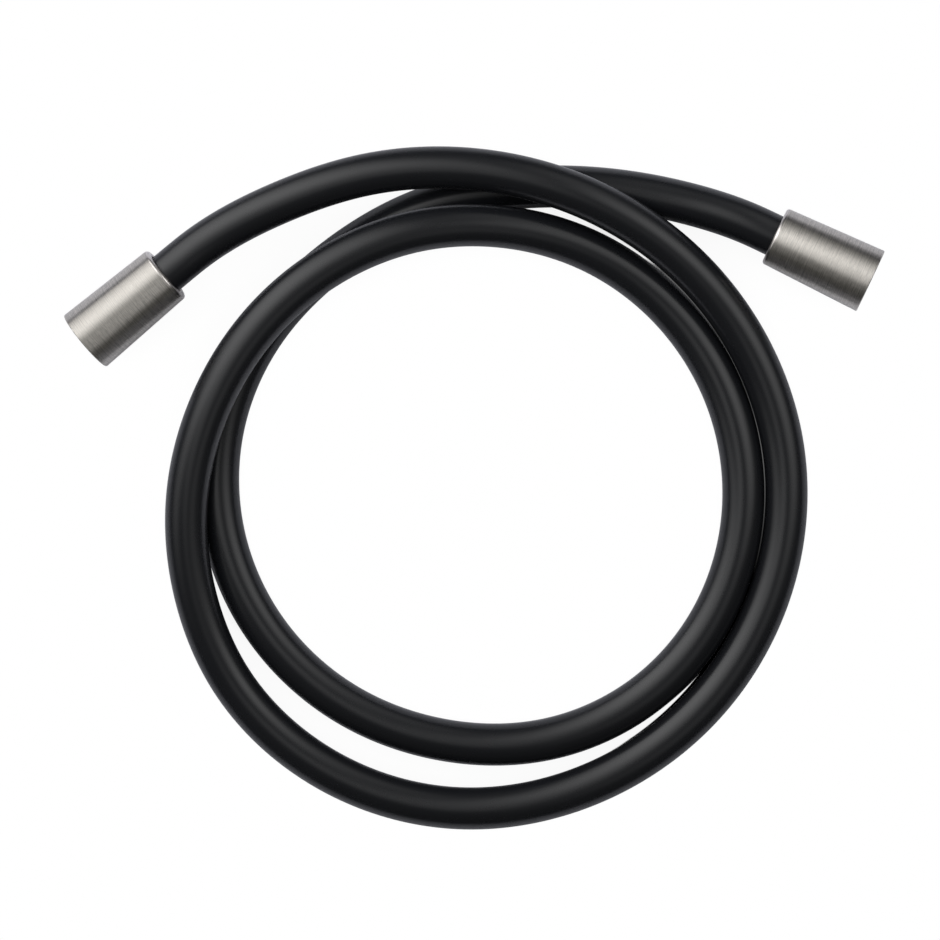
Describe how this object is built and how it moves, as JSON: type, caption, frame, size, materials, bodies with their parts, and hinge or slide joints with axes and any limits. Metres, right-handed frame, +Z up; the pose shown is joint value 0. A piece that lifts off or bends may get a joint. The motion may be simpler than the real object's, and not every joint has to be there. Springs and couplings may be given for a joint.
{
  "type": "flexible shower hose",
  "caption": "Smooth black flexible shower hose laid in loose loops, with a swivelling brushed-nickel cone nut threaded G1/2 at each end.",
  "frame": {"origin": "middle of the footprint, on the floor that the loops lie on", "axes": "+Z up, the axis that the loops lie flat across; +X from the handset end towards the outlet end, along the widest extent; +Y away from the person who looks at it with the two ends at the far side"},
  "size_m": [0.2984, 0.2482, 0.0317],
  "materials": {
    "black_hose": "smooth satin black flexible plastic",
    "brushed_nickel": "fine circular brushing, nickel plated",
    "black_rubber": "matt moulded rubber",
    "white_acetal": "plain machined plastic",
    "brass": "turned brass",
    "ferrule_steel": "plain pressed steel"
  },
  "bodies": {
    "hose_line": {"hose": "black_hose", "handset_hose_tail": "brass", "handset_crimp_ferrule": "ferrule_steel", "outlet_hose_tail": "brass", "outlet_crimp_ferrule": "ferrule_steel"},
    "handset_nut": {"handset_cone_nut": "brushed_nickel", "handset_seal_washer": "black_rubber", "handset_slip_ring": "white_acetal"},
    "outlet_nut": {"outlet_cone_nut": "brushed_nickel", "outlet_seal_washer": "black_rubber", "outlet_slip_ring": "white_acetal"}
  },
  "joints": [
    {"name": "handset_nut_swivel", "type": "hinge", "parent": "hose_line", "child": "handset_nut", "pos_m": [-0.1417, 0.05381, 0.01199], "axis": [-0.7681, -0.6332, -0.0958], "continuous": true},
    {"name": "outlet_nut_swivel", "type": "hinge", "parent": "hose_line", "child": "outlet_nut", "pos_m": [0.1442, 0.07561, 0.01211], "axis": [0.9026, -0.4296, 0.0283], "continuous": true}
  ]
}
